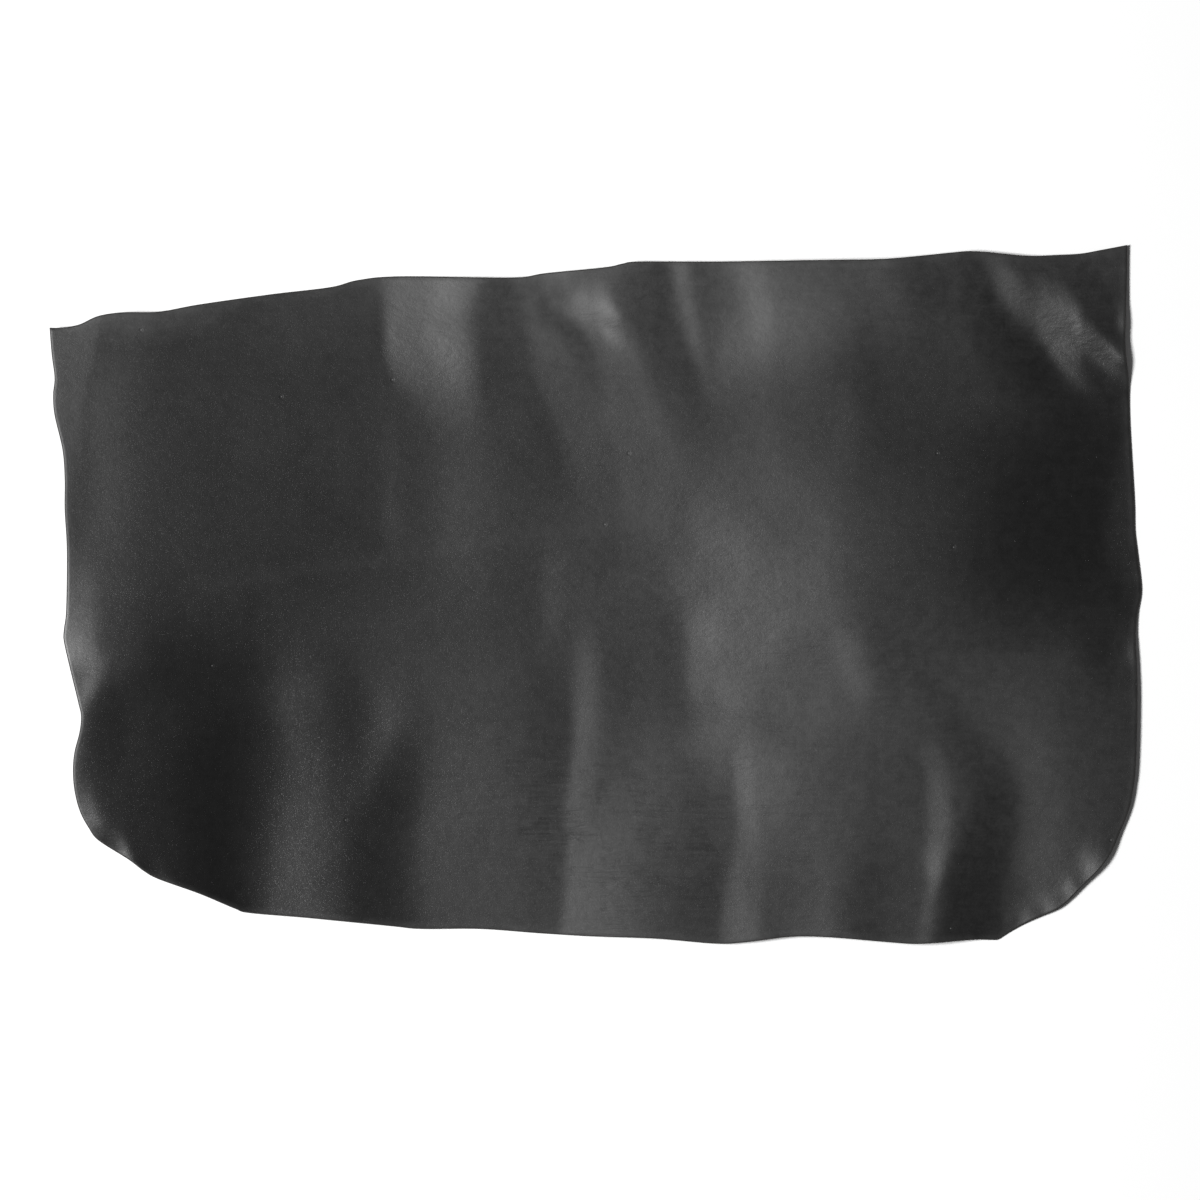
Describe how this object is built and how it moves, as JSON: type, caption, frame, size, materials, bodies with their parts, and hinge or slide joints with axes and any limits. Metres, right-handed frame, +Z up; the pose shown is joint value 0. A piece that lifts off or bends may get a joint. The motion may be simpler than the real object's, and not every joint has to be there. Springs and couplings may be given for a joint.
{
  "type": "leather hide",
  "caption": "Black vegetable-tanned leather double butt laid out grain side up: a thin one-piece sheet with uneven cut edges and low soft folds, resting flat on a surface.",
  "frame": {"origin": "on the surface that the hide rests on, under the middle of its bounding box", "axes": "+X along the hide, from its high end to its low end; +Y across it, towards the straighter cut edge; +Z up, out of the grain side"},
  "size_m": [1.5, 0.9602, 0.0353],
  "materials": {
    "leather": "black aniline-dyed full grain, semi-gloss, with a napped black flesh side"
  },
  "bodies": {
    "root": {"hide": "leather"}
  },
  "joints": []
}
